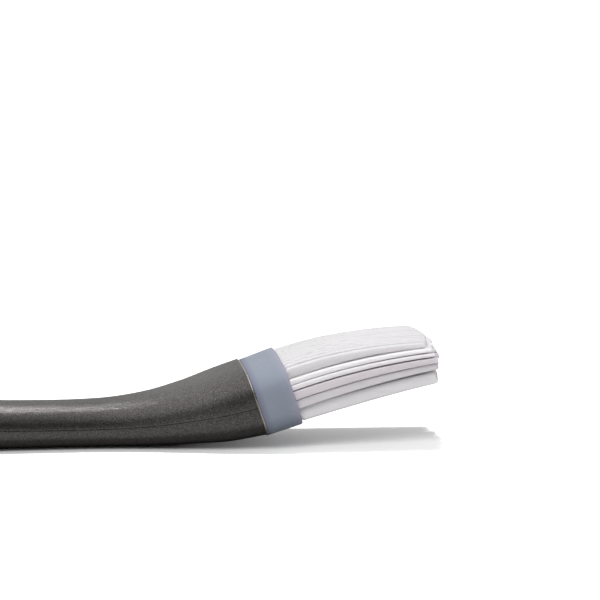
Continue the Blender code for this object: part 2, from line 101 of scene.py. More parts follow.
def object_from(name, bm, mat, sharp_angle=35):
    bmesh.ops.remove_doubles(bm, verts=bm.verts, dist=1e-7)
    bmesh.ops.recalc_face_normals(bm, faces=bm.faces)
    mesh = bpy.data.meshes.new(name)
    bm.to_mesh(mesh)
    bm.free()
    mesh.shade_smooth()
    mesh.set_sharp_from_angle(angle=math.radians(sharp_angle))
    obj = bpy.data.objects.new(name, mesh)
    bpy.context.scene.collection.objects.link(obj)
    if mat:
        mesh.materials.append(mat)
    return obj


def skin(name, rings, mat=None, looped=False, sharp_angle=35):
    """A closed surface over rings of points, capped at both ends or looped back to the first ring."""
    bm = bmesh.new()
    loops = [[bm.verts.new(point) for point in ring] for ring in rings]
    pairs = list(zip(loops, loops[1:]))
    if looped:
        pairs.append((loops[-1], loops[0]))
    else:
        bm.faces.new(loops[0])
        bm.faces.new(loops[-1])
    for near, far in pairs:
        for i in range(len(near)):
            j = (i + 1) % len(near)
            bm.faces.new((near[i], near[j], far[j], far[i]))
    return object_from(name, bm, mat, sharp_angle)


def oval(half_width, half_thickness, power, count):
    """Points (y, z) round a superellipse, anticlockwise from +y."""
    points = []
    for i in range(count):
        turn = 2 * math.pi * i / count
        c, s = math.cos(turn), math.sin(turn)
        y = half_width * math.copysign(abs(c) ** (2 / power), c)
        z = half_thickness * math.copysign(abs(s) ** (2 / power), s)
        points.append((y, z))
    return points


def head_rings(profile, count=128):
    """Oval rings across the head from (s, half width, half thickness) triples."""
    return [[HEAD @ Vector((s, y, z)) for y, z in oval(w, t, HEAD_POWER, count)] for s, w, t in profile]


SMALLEST_EDGE = 0.002 * MM  # shorter edges that a cut leaves are closed up


def cut(obj, cutter):
    """Cuts one piece out of another for good and removes the cutter."""
    modifier = obj.modifiers.new("cut", "BOOLEAN")
    modifier.object = cutter
    modifier.operation = "DIFFERENCE"
    modifier.solver = "EXACT"
    with bpy.context.temp_override(object=obj, active_object=obj, selected_objects=[obj]):
        bpy.ops.object.modifier_apply(modifier=modifier.name)
    bpy.data.objects.remove(cutter, do_unlink=True)
    bm = bmesh.new()
    bm.from_mesh(obj.data)
    bmesh.ops.dissolve_degenerate(bm, dist=SMALLEST_EDGE, edges=bm.edges)
    bm.to_mesh(obj.data)
    bm.free()
    obj.data.set_sharp_from_angle(angle=math.radians(35))


def turned(name, profile, centre, mat=None, steps=96):
    """A closed piece turned round an upright axis from (radius, height) points."""
    rings = []
    for i in range(steps):
        turn = 2 * math.pi * i / steps
        across = Vector((math.cos(turn), math.sin(turn), 0))
        rings.append([centre + across * radius + Vector((0, 0, height)) for radius, height in profile])
    return skin(name, rings, mat, looped=True)


# ---- Materials ----


class Nodes:
    """A short way to write a material's node tree."""

    def __init__(self, name):
        self.material = bpy.data.materials.new(name)
        self.material.use_nodes = True
        self.tree = self.material.node_tree
        self.shader = self.tree.nodes["Principled BSDF"]

    def add(self, kind, inputs=None, **settings):
        node = self.tree.nodes.new("ShaderNode" + kind)
        for key, value in settings.items():
            setattr(node, key, value)
        for key, value in (inputs or {}).items():
            self.feed(node.inputs[key], value)
        return node

    def feed(self, socket, value):
        if isinstance(value, bpy.types.NodeSocket):
            self.tree.links.new(value, socket)
        else:
            socket.default_value = value

    def set(self, **inputs):
        for key, value in inputs.items():
            self.feed(self.shader.inputs[key.replace("_", " ")], value)

    def math(self, operation, a, b=0.0, clamp=False):
        node = self.add("Math", operation=operation, use_clamp=clamp)
        self.feed(node.inputs[0], a)
        self.feed(node.inputs[1], b)
        return node.outputs[0]

    def range(self, value, from_low, from_high, to_low=0.0, to_high=1.0):
        node = self.add("MapRange")
        for socket, number in zip(node.inputs, (value, from_low, from_high, to_low, to_high)):
            self.feed(socket, number)
        return node.outputs[0]

    def mix(self, factor, a, b, blend="MIX"):
        node = self.add("Mix", data_type="RGBA", blend_type=blend)
        self.feed(node.inputs[0], factor)
        self.feed(node.inputs[6], a if isinstance(a, bpy.types.NodeSocket) else (*a, 1))
        self.feed(node.inputs[7], b if isinstance(b, bpy.types.NodeSocket) else (*b, 1))
        return node.outputs[2]

    def place(self):
        return self.add("TexCoord").outputs["Object"]

    def noise(self, scale, detail=3.0, place=None):
        inputs = {"Scale": scale, "Detail": detail, "Vector": place or self.place()}
        return self.add("TexNoise", inputs).outputs["Fac"]

    def bump(self, height, distance, strength=1.0, normal=None):
        inputs = {"Height": height, "Distance": distance, "Strength": strength}
        if normal:
            inputs["Normal"] = normal
        return self.add("Bump", inputs).outputs["Normal"]


def metallic_paint():
    """Satin pewter paint with fine flakes that each lean their own way."""
    made = Nodes("metallic_paint")
    flakes = made.add("TexVoronoi", {"Scale": 5200.0, "Vector": made.place()})
    lean = made.add("VectorMath", operation="SUBTRACT")
    made.feed(lean.inputs[0], flakes.outputs["Color"])
    made.feed(lean.inputs[1], (0.5, 0.5, 0.5))
    tilt = made.add("VectorMath", operation="SCALE")
    made.feed(tilt.inputs[0], lean.outputs[0])
    made.feed(tilt.inputs["Scale"], 0.28)
    normal = made.add("VectorMath", operation="ADD")
    made.feed(normal.inputs[0], made.add("NewGeometry").outputs["Normal"])
    made.feed(normal.inputs[1], tilt.outputs[0])
    leaning = made.add("VectorMath", operation="NORMALIZE")
    made.feed(leaning.inputs[0], normal.outputs[0])
    sparkle = made.add("SeparateColor", {"Color": flakes.outputs["Color"]}).outputs[0]
    tone = made.mix(made.noise(60.0), (0.150, 0.141, 0.136), (0.175, 0.165, 0.160))
    speck = made.range(made.noise(2600.0, 1.0), 0.3, 0.7, 0.64, 1.36)
    shade = made.add("CombineColor", {"Red": speck, "Green": speck, "Blue": speck}).outputs[0]
    colour = made.mix(made.math("POWER", sparkle, 9.0), tone, (0.30, 0.29, 0.29))
    made.set(
        Base_Color=made.mix(1.0, colour, shade, "MULTIPLY"),
        Metallic=1.0,
        Roughness=made.range(made.noise(900.0), 0.3, 0.7, 0.31, 0.39),
        Normal=leaning.outputs[0],
    )
    return made.material


def bright_metal():
    """Satin warm-white metal with fine brushing."""
    made = Nodes("bright_metal")
    stretch = made.add("Mapping", {"Vector": made.place(), "Scale": (400.0, 6000.0, 400.0)})
    brushing = made.noise(1.0, 2.0, stretch.outputs[0])
    made.set(
        Base_Color=made.mix(brushing, (0.60, 0.585, 0.52), (0.76, 0.745, 0.69)),
        Metallic=1.0,
        Roughness=made.range(brushing, 0.3, 0.7, 0.22, 0.36),
        Normal=made.bump(brushing, 0.02 * MM, 0.4),
    )
    return made.material


def frosted_plastic():
    """Blue-grey translucent plastic, deeper in colour where it is thick next to the handle."""
    made = Nodes("frosted_plastic")
    place = made.place()
    ahead = made.add("VectorMath", operation="DOT_PRODUCT")
    made.feed(ahead.inputs[0], place)
    made.feed(ahead.inputs[1], HEAD_AHEAD)
    along = made.math("SUBTRACT", ahead.outputs["Value"], MOUTH.dot(HEAD_AHEAD))
    body = made.mix(made.noise(120.0), (0.232, 0.260, 0.318), (0.250, 0.283, 0.336))
    deep = made.mix(made.range(along, 1.0 * MM, 3.2 * MM), (0.168, 0.174, 0.246), body)
    colour = made.mix(made.range(along, RIM_S - 3.0 * MM, RIM_S), deep, (0.300, 0.298, 0.370))
    made.set(
        Base_Color=colour,
        Roughness=made.range(made.noise(700.0), 0.3, 0.7, 0.44, 0.54),
        Subsurface_Weight=0.5,
        Subsurface_Radius=(1.0, 1.0, 1.2),
        Subsurface_Scale=3.0 * MM,
        Specular_IOR_Level=0.4,
        Normal=made.bump(made.noise(1500.0), 0.02 * MM, 0.5),
    )
    return made.material


def moulded_plastic():
    """Plain grey moulding inside the head, with a fine spark-eroded grain."""
    made = Nodes("moulded_plastic")
    grain = made.noise(2500.0, 4.0)
    made.set(
        Base_Color=made.mix(grain, (0.17, 0.19, 0.22), (0.23, 0.25, 0.28)),
        Roughness=made.range(grain, 0.3, 0.7, 0.45, 0.6),
        Normal=made.bump(grain, 0.03 * MM),
    )
    return made.material


def silicone(name, tone_and_painted_light):
    """Milky translucent silicone with faint flow streaks along the bristles; its tone carries painted light
    and shade, set comb by comb.
    """
    made = Nodes(name)
    streak_tone_and_painted_light = [part + 0.08 for part in tone_and_painted_light]
    place = made.place()
    stretch = made.add("Mapping", {"Vector": place, "Scale": (40.0, 900.0, 900.0)})
    streaks = made.noise(1.0, 3.0, stretch.outputs[0])
    clouds = made.noise(160.0, 2.0, place)
    streaked = made.mix(streaks, tone_and_painted_light, streak_tone_and_painted_light)
    made.set(
        Base_Color=made.mix(made.math("MULTIPLY", clouds, 0.5), streaked, streak_tone_and_painted_light),
        Roughness=made.range(streaks, 0.3, 0.7, 0.24, 0.4),
        Subsurface_Weight=0.75,
        Subsurface_Radius=(1.0, 0.95, 1.0),
        Subsurface_Scale=3.5 * MM,
        Specular_IOR_Level=0.3,
        Normal=made.bump(streaks, 0.05 * MM, 0.3),
    )
    return made.material


# strength of the painted glow that lightens the floor's shadow under the raised head
HEAD_SHADOW_PAINTED_GLOW = 0.17


def floor_white():
    """A white floor, darker to the brush than to the camera, with a painted glow, seen by the camera alone,
    that lightens the shadow under the raised head.
    """
    made = Nodes("floor_white")
    mottle = made.noise(3.0)
    white = made.mix(mottle, (0.90, 0.90, 0.90), (0.92, 0.92, 0.92))
    path = made.add("LightPath")
    lighting = made.mix(path.outputs["Is Diffuse Ray"], white, (0.36, 0.36, 0.36))
    along = made.add("SeparateXYZ", {"Vector": made.place()}).outputs["X"]
    # painted light: the floor glows to the camera under the raised head and lightens its shadow there
    lift = made.range(along, MOUTH.x - 25 * MM, MOUTH.x + 10 * MM, 0.0, HEAD_SHADOW_PAINTED_GLOW)
    made.set(
        Base_Color=made.mix(path.outputs["Is Glossy Ray"], lighting, (0.20, 0.20, 0.20)),
        Roughness=0.6,
        Emission_Color=(1, 1, 1, 1),
        Emission_Strength=made.math("MULTIPLY", path.outputs["Is Camera Ray"], lift),
    )
    return made.material


# ---- Handle ----

Station = namedtuple("Station", "x lift tilt half_width half_thickness power")
TAIL, HANGING_EYE = -180 * MM, -167 * MM
STATIONS = (
    Station(TAIL, 0, 0, 10.6 * MM, 5.4 * MM, 2.5),
    Station(HANGING_EYE, 0, 0, 11.2 * MM, 5.8 * MM, 2.5),
    Station(-118 * MM, 0, 0, 13.2 * MM, 7.8 * MM, 2.5),
    Station(-72 * MM, 0, 0, 12.0 * MM, 7.1 * MM, 2.5),
    Station(-48 * MM, 0, 0, 12.6 * MM, 7.15 * MM, 2.6),
    Station(-33 * MM, 0.1 * MM, math.radians(4.5), 14.6 * MM, 7.95 * MM, 2.8),
    Station(-20 * MM, 0.7 * MM, math.radians(9), 17.2 * MM, 9.3 * MM, 3.0),
    Station(-10 * MM, 1.45 * MM, math.radians(13), 19.3 * MM, 10.65 * MM, 3.2),
    Station(0, 3.47 * MM, HEAD_TILT, 20.6 * MM, 11.35 * MM, HEAD_POWER),
)
TAIL_ROUNDING = 10 * MM
GRIP_MIDDLE = Vector((-84 * MM, 0, 0))
BELLY_FLAT = 0.02  # share of the half thickness that the belly's flat takes off
SHELL_WALL, GRIP_WALL = 1.8 * MM, 3 * MM  # in the wide part by the mouth, and in the grip behind it
GRIP_END, GRIP_FADE = -30 * MM, 10 * MM
CAVITY_START = -150 * MM  # the tail behind this is solid
PARTING_GAP = 0.04 * MM
PARTING_ROUNDING = 0.14 * MM
DRAFT = 0.08  # share of its width that each shell loses away from the parting line
HANDLE_STEP = 1.25 * MM
HALF_POINTS = 56
MOUTH_REACH = 0.28 * MM  # the last section goes on this far towards the trim bead
DRILL_RADIUS, RECESS_RADIUS, FLANGE_SEAT, PLUG_REACH = 5.1 * MM, 7.15 * MM, 0.95 * MM, 10 * MM
PLUG_SIDES = 96


def smooth_value(field, x):
    """A station value at x, on a cubic through the stations with Catmull-Rom slopes."""
    xs = [station.x for station in STATIONS]
    ys = [getattr(station, field) for station in STATIONS]
    x = min(max(x, xs[0]), xs[-1])
    i = max(k for k in range(len(xs) - 1) if xs[k] <= x)

    def slope(k):
        before, after = max(k - 1, 0), min(k + 1, len(xs) - 1)
        return (ys[after] - ys[before]) / (xs[after] - xs[before])

    span = xs[i + 1] - xs[i]
    t = (x - xs[i]) / span
    return (
        ys[i] * (2 * t**3 - 3 * t**2 + 1)
        + ys[i + 1] * (3 * t**2 - 2 * t**3)
        + span * slope(i) * (t**3 - 2 * t**2 + t)
        + span * slope(i + 1) * (t**3 - t**2)
    )


def station_at(x):
    """The handle's station at any x, with the tail rounded off, and the height of its middle."""
    end = max(0.0, (TAIL + TAIL_ROUNDING - x) / TAIL_ROUNDING)
    shrink = math.sqrt(max(0.004, 1 - end**2))
    values = {field: smooth_value(field, x) for field in Station._fields[1:]}
    centre = values["half_thickness"] * (1 - BELLY_FLAT) * math.cos(values["tilt"]) + values["lift"]
    values["half_width"] *= shrink
    values["half_thickness"] *= shrink
    return Station(x, **values), centre


def handle_positions():
    """Where the sections stand: closer together over the rounded tail."""
    steps = 14
    positions = [TAIL + TAIL_ROUNDING * (1 - math.cos(math.pi / 2 * i / steps)) for i in range(steps)]
    x = TAIL + TAIL_ROUNDING
    while x < -HANDLE_STEP / 2:
        positions.append(x)
        x += HANDLE_STEP
    return positions + [0.0]


def half_outline(half_width, half_thickness, power, floor, points=HALF_POINTS):
    """The upper half of an oval from +y to -y, a little narrower away from the floor line it stands on."""
    outline = []
    for i in range(points + 1):
        turn = math.pi * i / points
        c, s = math.cos(turn), math.sin(turn)
        y = half_width * math.copysign(abs(c) ** (2 / power), c) * (1 - DRAFT * abs(s))
        outline.append((y, max(half_thickness * abs(s) ** (2 / power), floor)))
    return outline


def shell_ring(x, side, hollow):
    """The section of one shell: round the outside, with rounded parting edges, and back along the inside."""
    station, centre = station_at(x)
    place = Matrix.Translation((MOUTH.x + x, 0, centre)) @ Matrix.Rotation(-station.tilt, 4, "Y")
    w, t = station.half_width, station.half_thickness
    rounding = min(PARTING_ROUNDING, w / 8)
    outer = half_outline(w, t, station.power, PARTING_GAP + rounding)
    if side < 0:
        outer = [(y, min(z, t * (1 - BELLY_FLAT))) for y, z in outer]
    corner = []
    for lean in (0, 0.4, 0.8, 1.2):
        inset, rise = rounding * (1 - math.sin(lean)), rounding * (1 - math.cos(lean))
        corner.append((w - inset, PARTING_GAP + rise))
    ring = corner + outer + [(-y, z) for y, z in reversed(corner)]
    grip_share = min(1.0, max(0.0, (GRIP_END + GRIP_FADE - x) / GRIP_FADE))
    wall = SHELL_WALL + (GRIP_WALL - SHELL_WALL) * grip_share
    if hollow:
        inner = half_outline(w - wall, t - wall, station.power, PARTING_GAP)
    else:
        inside = max(w - wall, w / 2)
        inner = [(inside * (1 - 2 * i / HALF_POINTS), PARTING_GAP) for i in range(HALF_POINTS + 1)]
    ring += reversed(inner)
    return [place @ Vector((0, y, side * z)) for y, z in ring]


def make_shell(name, side, mat):
    """One moulding of the handle: solid at the tail, hollow from there on, and recessed for the eyelet."""
    solid = [x for x in handle_positions() if x < CAVITY_START]
    hollow = [x for x in handle_positions() if x >= CAVITY_START]
    rings = [shell_ring(x, side, False) for x in solid + [CAVITY_START - 0.1 * MM]]
    rings += [shell_ring(x, side, True) for x in hollow]
    rings.append([point + HEAD_AHEAD * MOUTH_REACH for point in rings[-1]])
    shell = skin(name, rings, mat, sharp_angle=50)
    cut(shell, eyelet_cutter(side))
    return shell


def eyelet_cutter(side):
    """A stepped round cutter: the eyelet's hole, and the wider recess for its flange above or below."""
    low, high = eyelet_heights()
    if side > 0:
        inner_end, seat, outer_end = low - PLUG_REACH, high - FLANGE_SEAT, high + PLUG_REACH
    else:
        inner_end, seat, outer_end = high + PLUG_REACH, low + FLANGE_SEAT, low - PLUG_REACH
    turns = [2 * math.pi * i / PLUG_SIDES for i in range(PLUG_SIDES)]
    across = [Vector((math.cos(turn), math.sin(turn), 0)) for turn in turns]
    rings = []
    for radius, height in (
        (DRILL_RADIUS, inner_end), (DRILL_RADIUS, seat), (RECESS_RADIUS, seat), (RECESS_RADIUS, outer_end),
    ):  # fmt: skip
        middle = eyelet_place() + Vector((0, 0, height))
        rings.append([middle + direction * radius for direction in across])
    return skin("eyelet_cutter", rings)


def eyelet_place():
    low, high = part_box("hanging_eyelet")
    return Vector(((low.x + high.x) / 2, 0, 0))


def eyelet_heights():
    low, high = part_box("hanging_eyelet")
    return low.z, high.z


def arc(centre, radius, start, stop, steps=6):
    """Points (radius, height) on an arc, with its angles in degrees."""
    angles = [math.radians(start + (stop - start) * i / steps) for i in range(steps + 1)]
    return [(centre[0] + radius * math.cos(a), centre[1] + radius * math.sin(a)) for a in angles]


def make_eyelet(mat):
    """The rolled eyelet that lines the hanging hole."""
    low, high = eyelet_heights()
    bore, barrel, flange, thick = 3.6 * MM, 5 * MM, 7 * MM, 0.9 * MM
    lip, roll = thick / 2, 0.7 * MM
    profile = arc((flange - lip, high - lip), lip, 90, -90)
    profile += [(barrel, high - thick), (barrel, low + thick)]
    profile += arc((flange - lip, low + lip), lip, 90, -90)
    profile += arc((bore + roll, low + roll), roll, 270, 180)
    profile += arc((bore + roll, high - roll), roll, 180, 90)
    return turned("hanging_eyelet_ring", profile, eyelet_place(), mat)


# ---- Head ----

BEAD_CLEARANCE, BEAD_PROUD = 0.03 * MM, 0.05 * MM
BEAD_INSIDE = 17.6 * MM, 8.5 * MM  # half width and half thickness, over the collar's spigot
SPIGOT_OUTSIDE, SPIGOT_BORE, SPIGOT_END = (17.2 * MM, 8.1 * MM), (15.6 * MM, 6.5 * MM), -6.5 * MM
COLLAR_WALL, COLLAR_START_GAP, BULKHEAD_FACE = 1.25 * MM, 0.02 * MM, 3 * MM
RIM_ROUNDING, COLLAR_EDGE_ROUNDING = 0.45 * MM, 0.2 * MM


def outside_at(s):
    """Half width and half thickness of the head's outside, s past the mouth."""
    share = (s - trim_low.x) / (RIM_S - trim_low.x)
    width = trim_high.y + (collar_high.y - trim_high.y) * share
    thickness = trim_high.z + (collar_high.z - trim_high.z) * share
    return width, thickness


def make_trim_ring(mat):
    """A half-round bead that fills the joint between handle and collar."""
    low, high = trim_low.x + BEAD_CLEARANCE, trim_high.x - BEAD_CLEARANCE
    middle, half = (low + high) / 2, (high - low) / 2
    w, t = outside_at(middle)
    profile = []
    for i in range(9):
        angle = math.pi * i / 8
        proud = BEAD_PROUD * math.sin(angle)
        profile.append((middle - half * math.cos(angle), w + proud, t + proud))
    profile += [(high, *BEAD_INSIDE), (low, *BEAD_INSIDE)]
    return skin("trim_bead", head_rings(profile), mat, looped=True)


def make_collar(mat):
    """The hollow collar: outside, rolled rim, chamber for the combs, bulkhead, and spigot into the handle."""
    start = trim_high.x + COLLAR_START_GAP
    profile = []
    for i in range(5):
        angle = math.pi / 2 * i / 4
        w, t = outside_at(start)
        inset = COLLAR_EDGE_ROUNDING * (1 - math.sin(angle))
        profile.append((start + COLLAR_EDGE_ROUNDING * (1 - math.cos(angle)), w - inset, t - inset))
    steps = 10
    straight_start, straight_end = start + COLLAR_EDGE_ROUNDING, RIM_S - RIM_ROUNDING
    for i in range(1, steps):
        s = straight_start + (straight_end - straight_start) * i / steps
        profile.append((s, *outside_at(s)))
    w, t = outside_at(RIM_S)
    for i in range(9):
        angle = math.pi * i / 8
        inset = COLLAR_WALL / 2 * (1 - math.cos(angle))
        profile.append((RIM_S - RIM_ROUNDING * (1 - math.sin(angle)), w - inset, t - inset))
    profile += [(BULKHEAD_FACE, w - COLLAR_WALL, t - COLLAR_WALL), (BULKHEAD_FACE, *SPIGOT_BORE)]
    profile += [(SPIGOT_END, *SPIGOT_BORE), (SPIGOT_END, *SPIGOT_OUTSIDE), (start, *SPIGOT_OUTSIDE)]
    return skin("collar_moulding", head_rings(profile), mat, looped=True)


# ---- Silicone combs ----

Comb = namedtuple("Comb", "name body thickness half_width length slope droop tip swell fingers")
BRISTLES, TONGUES = 15, 5
OUTER = {"half_width": 17.8 * MM, "length": 46 * MM, "fingers": BRISTLES}
FLAP = {"slope": 0, "tip": 0.6, "swell": 0, "fingers": TONGUES}
MID_FLAP = {"half_width": 19.2 * MM, "length": 47.6 * MM, **FLAP}
CORE_FLAP = {"half_width": 19.8 * MM, "length": 48 * MM, **FLAP}
THIN, THICK = 1.5 * MM, 2.7 * MM
COMBS = (
    Comb("top_outer_comb", "top_comb", 4.4 * MM, slope=0, droop=7.1 * MM, tip=0.42, swell=0, **OUTER),
    Comb("upper_flap", "flap_1", THIN, droop=6.1 * MM, **MID_FLAP),
    Comb("upper_core_flap", "flap_2", THIN, droop=5.8 * MM, **CORE_FLAP),
    Comb("lower_core_flap", "flap_3", THICK, droop=5 * MM, **CORE_FLAP),
    Comb("lower_flap", "flap_4", THICK, droop=3.9 * MM, **MID_FLAP),
    Comb(
        "bottom_outer_comb", "bottom_comb", 4.7 * MM,
        slope=0.045, droop=3.7 * MM, tip=0.95, swell=0.7, **OUTER,
    ),
)
# One silicone for all the combs; the tones differ as painted light and shade: darker on the top comb, whose
# top face the overhead light floods, lighter on the two upper flaps as painted light on their shaded sides,
# darker on the lower flaps as painted shade
SILICONE_TONES_AND_PAINTED_LIGHT = {
    "top_outer_comb": (0.59, 0.575, 0.59),
    "upper_flap": (0.79, 0.76, 0.79),
    "upper_core_flap": (0.78, 0.735, 0.775),
    "lower_core_flap": (0.62, 0.57, 0.61),
    "lower_flap": (0.61, 0.58, 0.615),
    "bottom_outer_comb": (0.70, 0.68, 0.70),
}
PACK_HALF_WIDTH, PACK_HALF_THICKNESS, PACK_POWER = 20 * MM, 9.8 * MM, 4.5
CHAMBER_HALF_WIDTH, CHAMBER_HALF_THICKNESS = 19.7 * MM, 9.95 * MM
EDGE_SHORTENING = 3 * MM
LENGTH_SCATTER, SIDE_SCATTER, HEIGHT_SCATTER = 0.5 * MM, 0.10 * MM, 0.15 * MM
ROOT_START, WEB_LENGTH = -5.5 * MM, 4 * MM  # the uncut strip, from inside the collar to the slots
WEB_ROWS = (ROOT_START, -3 * MM, -1 * MM, -0.4 * MM, 0.3 * MM, 1 * MM, 2 * MM, 3 * MM, WEB_LENGTH)
FINGER_STEPS, TIP_ANGLES = 18, (25, 45, 62, 76, 86)
BOXY_POWER, POWER_LOST = 12, 9.6  # a finger's section, and how much squareness a fully round one would lose
SLOT = 0.4 * MM
SNUG = 0.13 * MM  # swell of the layers towards each other, apart from the two core flaps
HOLE_RADIUS, HOLE_PLACES = 1.3 * MM, (13 * MM, 20 * MM, 27 * MM)


def comb_height(comb):
    """Height of a comb's middle above the head's axis, from its pivot."""
    return (HEAD.inverted() @ PIVOTS[comb.body]).z


def is_outer(comb):
    return comb.fingers == BRISTLES


def oval_height(y, half_width, half_thickness, power):
    return (1 - abs(y / half_width) ** power) ** (1 / power) * half_thickness


def pack_height(s, y):
    """Height of the pack's outside at y: a free oval ahead of the flex line, held in by the collar behind."""
    free = oval_height(y, PACK_HALF_WIDTH, PACK_HALF_THICKNESS, PACK_POWER)
    if s > 0:
        return free
    return min(free, oval_height(y, CHAMBER_HALF_WIDTH, CHAMBER_HALF_THICKNESS, HEAD_POWER))


def comb_faces(comb, s, y):
    """Heights of a comb's two faces above the head's axis, s ahead of the flex line and y to the side."""
    half, height = comb.thickness / 2, comb_height(comb)
    low, high = -half, half
    if is_outer(comb):
        high = min(half, pack_height(s, y) - abs(height))
        if height < 0:
            low, high = -high, -low
    share = max(0.0, s) / comb.length
    taper = 1 - (1 - comb.tip) * share**1.5
    fill = taper + comb.swell * share * (1 - share)  # the swell only thickens it upwards
    middle = height - comb.slope * max(0.0, s) - (comb.droop - comb.slope * comb.length) * share**2
    below = 0 if comb.name in ("bottom_outer_comb", "upper_core_flap") else SNUG
    above = 0 if comb.name in ("top_outer_comb", "lower_core_flap") else SNUG
    return middle + low * taper - below, middle + high * fill + above


def finger_pitch(comb):
    return (2 * comb.half_width + SLOT) / comb.fingers


def face_points(comb):
    """Points across each face of a finger."""
    return 7 if is_outer(comb) else 13


def finger_section(middle, half, roundness, count):
    """Points (y, z) over the top from left to right and back underneath, from boxy (0) to round (1)."""
    power = BOXY_POWER - POWER_LOST * roundness
    top = []
    for i in range(count):
        turn = math.pi * (i + 0.5) / count
        c, s = -math.cos(turn), math.sin(turn)
        y = half[0] * math.copysign(abs(c) ** (2 / power), c)
        top.append((y, half[1] * abs(s) ** (2 / power)))
    upper = [(middle[0] + y, middle[1] + z) for y, z in top]
    lower = [(middle[0] + y, middle[1] - z) for y, z in reversed(top)]
    return upper + lower


def finger_ring(bm, comb, s, edges, roundness, shift=(0.0, 0.0), squeeze=1.0):
    """Vertices round a finger, s ahead of the flex line, shifted aside and squeezed towards its middle."""
    left, right = edges
    low, high = comb_faces(comb, s, (left + right) / 2)
    middle = (left + right) / 2 + shift[0], (low + high) / 2 + shift[1]
    half = (right - left) / 2 * squeeze, (high - low) / 2 * squeeze
    points = finger_section(middle, half, roundness, face_points(comb))
    return [bm.verts.new(HEAD @ Vector((FLEX_S + s, y, z))) for y, z in points]


def grow_web(bm, comb, fingers):
    """The uncut strip at a comb's root; gives the vertices along the top and the bottom of its free end."""
    count = face_points(comb)
    previous = None
    for s in WEB_ROWS:
        rings = [finger_ring(bm, comb, s, edges, 0.0) for edges in fingers]
        top = [v for ring in rings for v in ring[:count]]
        bottom = [v for ring in rings for v in reversed(ring[count:])]
        if previous:
            for near, far, flip in ((previous[0], top, False), (previous[1], bottom, True)):
                for a, b, c, d in zip(near, near[1:], far[1:], far):
                    bm.faces.new((d, c, b, a) if flip else (a, b, c, d))
            for k in (0, -1):
                bm.faces.new((previous[0][k], top[k], bottom[k], previous[1][k]))
        else:
            bm.faces.new(top + list(reversed(bottom)))
        previous = (top, bottom)
    for i in range(comb.fingers - 1):
        a, b = (i + 1) * count - 1, (i + 1) * count
        bm.faces.new((top[a], top[b], bottom[b], bottom[a]))
    return top, bottom


def grow_finger(bm, comb, edges, ring, rng):
    """One finger from its ring on the web to its rounded tip, with a slight lean of its own."""
    outer = is_outer(comb)
    left, right = edges
    shortening = EDGE_SHORTENING * ((left + right) / 2 / PACK_HALF_WIDTH) ** 2
    length = comb.length - shortening - rng.uniform(0, 1) * LENGTH_SCATTER
    wander = (rng.uniform(-1, 1) * SIDE_SCATTER, rng.uniform(-1, 1) * HEIGHT_SCATTER)
    tip_radius = (1.0 if outer else 0.8) * MM
    tip_narrowing = (0.35 if outer else 0.06) * (right - left) / 2
    for step in range(1, FINGER_STEPS + 1):
        share = step / FINGER_STEPS
        s = WEB_LENGTH + (length - tip_radius - WEB_LENGTH) * share
        narrow = tip_narrowing * share**2
        roundness = min(0.76, share * 1.6) if outer else 0
        shift = (wander[0] * share**2, wander[1] * share**2)
        ahead = finger_ring(bm, comb, s, (left + narrow, right - narrow), roundness, shift)
        bridge(bm, ring, ahead)
        ring = ahead
    for angle in TIP_ANGLES:
        turn = math.radians(angle)
        s = length - tip_radius * (1 - math.sin(turn))
        ends = left + tip_narrowing, right - tip_narrowing
        ahead = finger_ring(bm, comb, s, ends, roundness, wander, math.cos(turn) ** 0.6)
        bridge(bm, ring, ahead)
        ring = ahead
    bm.faces.new(ring)


def make_comb(comb, mat, rng):
    """One silicone moulding, from the strip inside the collar to its finger tips."""
    count, pitch, left = face_points(comb), finger_pitch(comb), -comb.half_width
    fingers = [(left + i * pitch, left + (i + 1) * pitch - SLOT) for i in range(comb.fingers)]
    bm = bmesh.new()
    top, bottom = grow_web(bm, comb, fingers)
    for i, edges in enumerate(fingers):
        own = slice(i * count, (i + 1) * count)
        grow_finger(bm, comb, edges, top[own] + list(reversed(bottom[own])), rng)
    piece = object_from(comb.name, bm, mat, sharp_angle=60)
    if not is_outer(comb):
        cut(piece, hole_cutter(pitch))
    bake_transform(piece)
    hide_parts(comb.name + "_root", comb.name + "_bristles")
    return piece


def bridge(bm, near, far):
    for i in range(len(near)):
        j = (i + 1) % len(near)
        bm.faces.new((near[i], near[j], far[j], far[i]))


def hole_cutter(pitch):
    """All the holes of one flap as upright cylinders."""
    bm = bmesh.new()
    for i in range(TONGUES):
        for ahead in HOLE_PLACES:
            across = (i - (TONGUES - 1) / 2) * pitch
            matrix = HEAD @ Matrix.Translation((FLEX_S + ahead, across, 0))
            bmesh.ops.create_cone(
                bm, cap_ends=True, segments=32, radius1=HOLE_RADIUS, radius2=HOLE_RADIUS,
                depth=50 * MM, matrix=matrix,
            )  # fmt: skip
    return object_from("hole_cutter", bm, None)


# ---- Studio ----

SKY_LIGHT = 0.5  # even light from all round on matt surfaces
BACKDROP_AXIS = Vector((-0.6, 0.45, 0.66)).normalized()  # towards the brightest part of the mirrored backdrop
